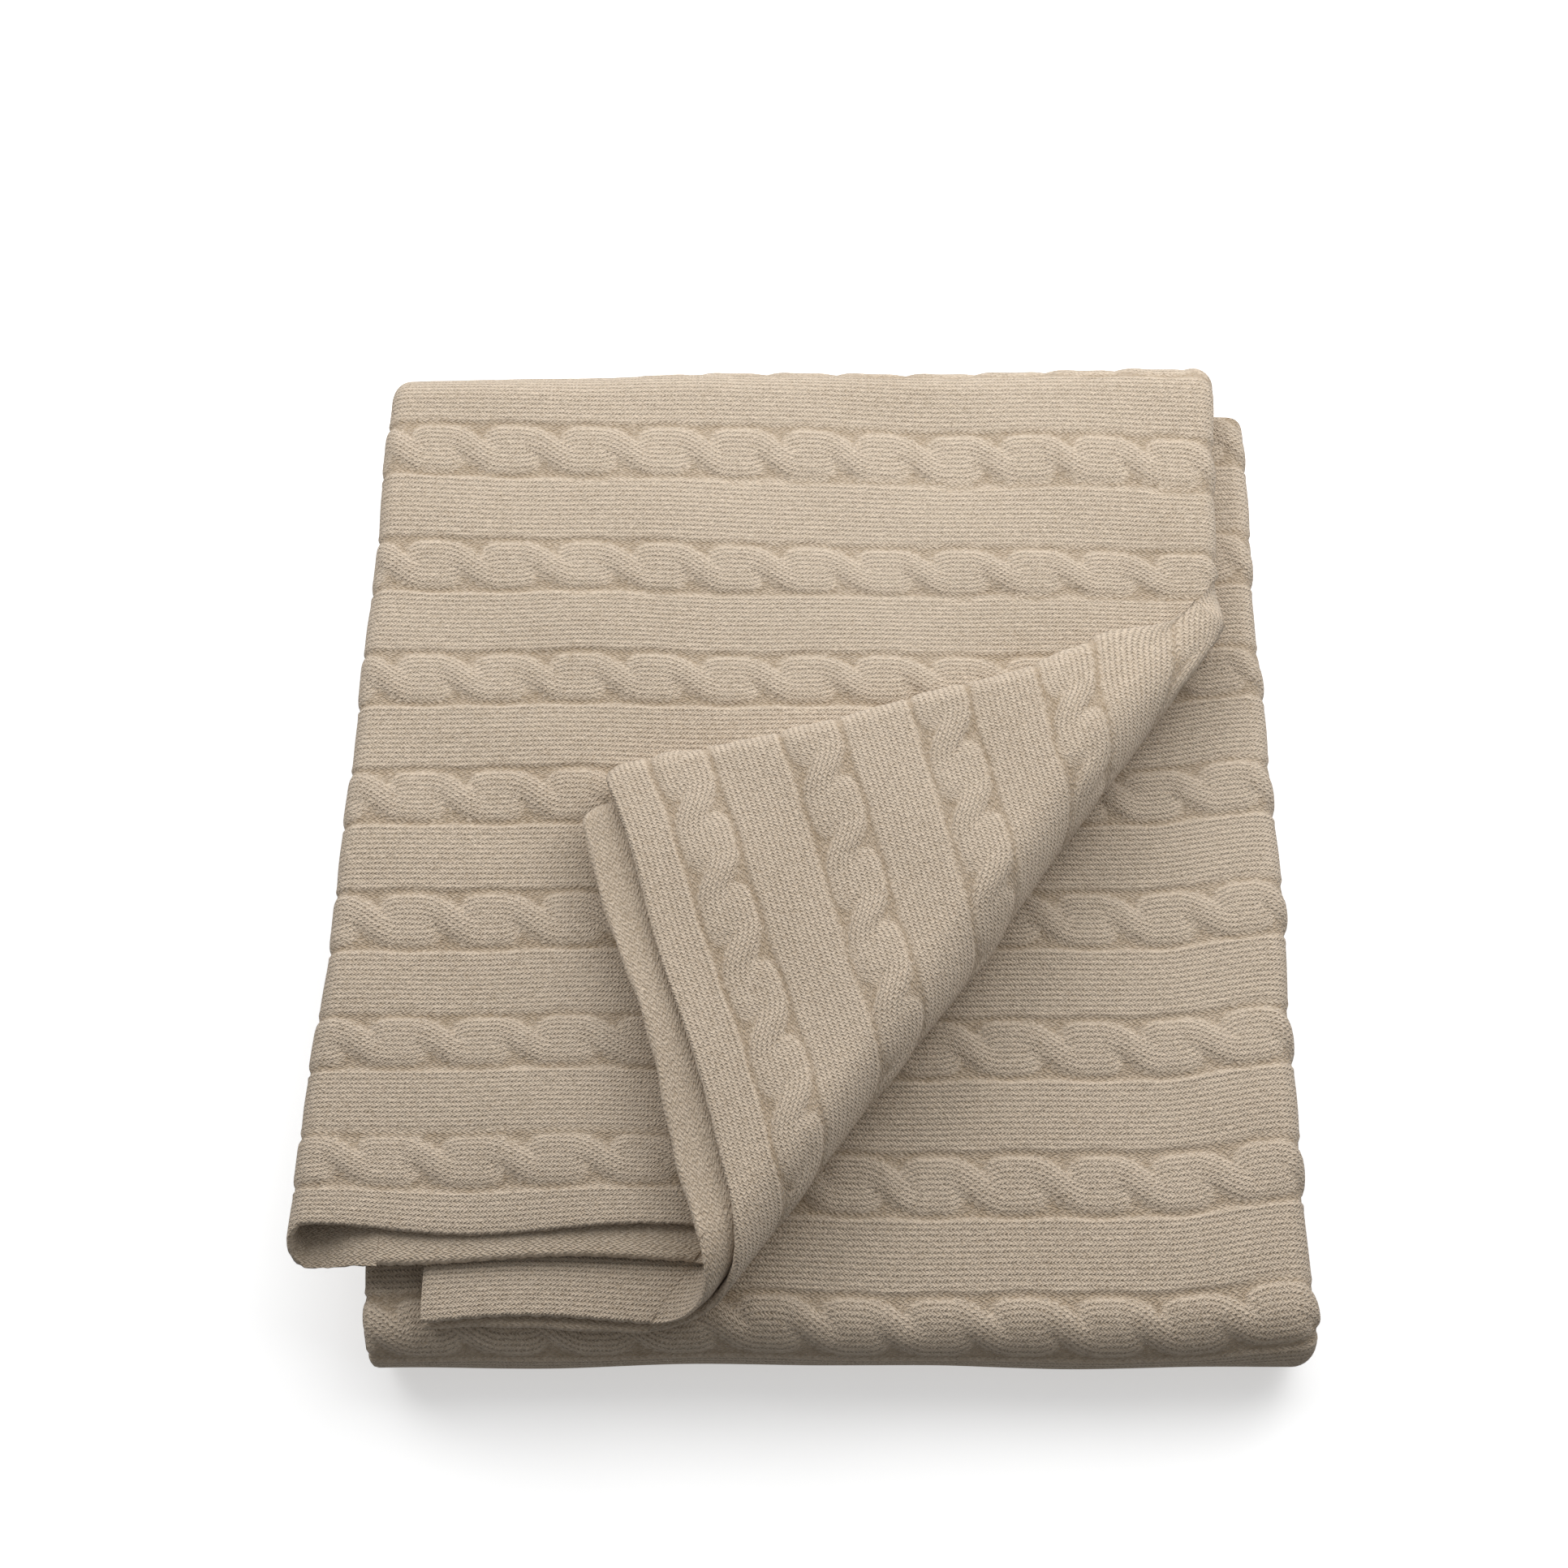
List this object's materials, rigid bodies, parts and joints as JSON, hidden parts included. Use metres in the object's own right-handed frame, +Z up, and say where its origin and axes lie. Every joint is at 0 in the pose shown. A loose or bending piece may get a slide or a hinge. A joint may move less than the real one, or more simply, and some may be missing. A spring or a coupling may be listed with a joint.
{
  "type": "folded throw blanket",
  "caption": "Cream cable-knit throw blanket folded into a flat pack, with one corner of the upper bundle turned back diagonally.",
  "frame": {"origin": "middle of the pack's bounding box, on the surface it lies on", "axes": "+Z up, +X to the right of someone facing the front bend, +Y to the back of the pack"},
  "size_m": [0.408, 0.4436, 0.0797],
  "materials": {
    "knit": "soft brushed cable knit, matt",
    "knit_inside": "soft wrong side of the knit, matt"
  },
  "bodies": {
    "stack": {"bottom_layer_1": "knit", "bottom_layer_2": "knit", "bottom_layer_3": "knit", "bottom_layer_4": "knit", "bottom_left_fold": "knit", "bottom_right_fold_inner": "knit", "bottom_right_fold_outer": "knit", "middle_layer_1": "knit", "middle_layer_2": "knit", "middle_layer_3": "knit", "middle_layer_4": "knit", "middle_left_fold": "knit", "middle_right_fold_inner": "knit", "middle_right_fold_outer": "knit", "front_bend_1": "knit", "front_bend_2": "knit", "front_bend_3": "knit", "front_bend_4": "knit", "back_bend_1": "knit", "back_bend_2": "knit", "back_bend_3": "knit", "back_bend_4": "knit", "upper_layer_1": "knit", "upper_layer_2": "knit", "upper_layer_3": "knit", "upper_layer_4": "knit", "upper_left_loop": "knit_inside", "upper_right_fold_inner": "knit", "upper_right_fold_outer": "knit", "crease_bend_1": "knit", "crease_bend_2": "knit", "crease_bend_3": "knit", "crease_bend_4": "knit"},
    "turned_corner": {"corner_layer_1": "knit", "corner_layer_2": "knit", "corner_layer_3": "knit", "corner_layer_4": "knit", "corner_fold_inner": "knit", "corner_fold_outer": "knit"}
  },
  "joints": [
    {"name": "corner_turn", "type": "hinge", "parent": "stack", "child": "turned_corner", "pos_m": [0.16087, 0.09035, 0.05985], "axis": [0.5958, 0.8031, 0], "range_deg": [0, 180]}
  ]
}
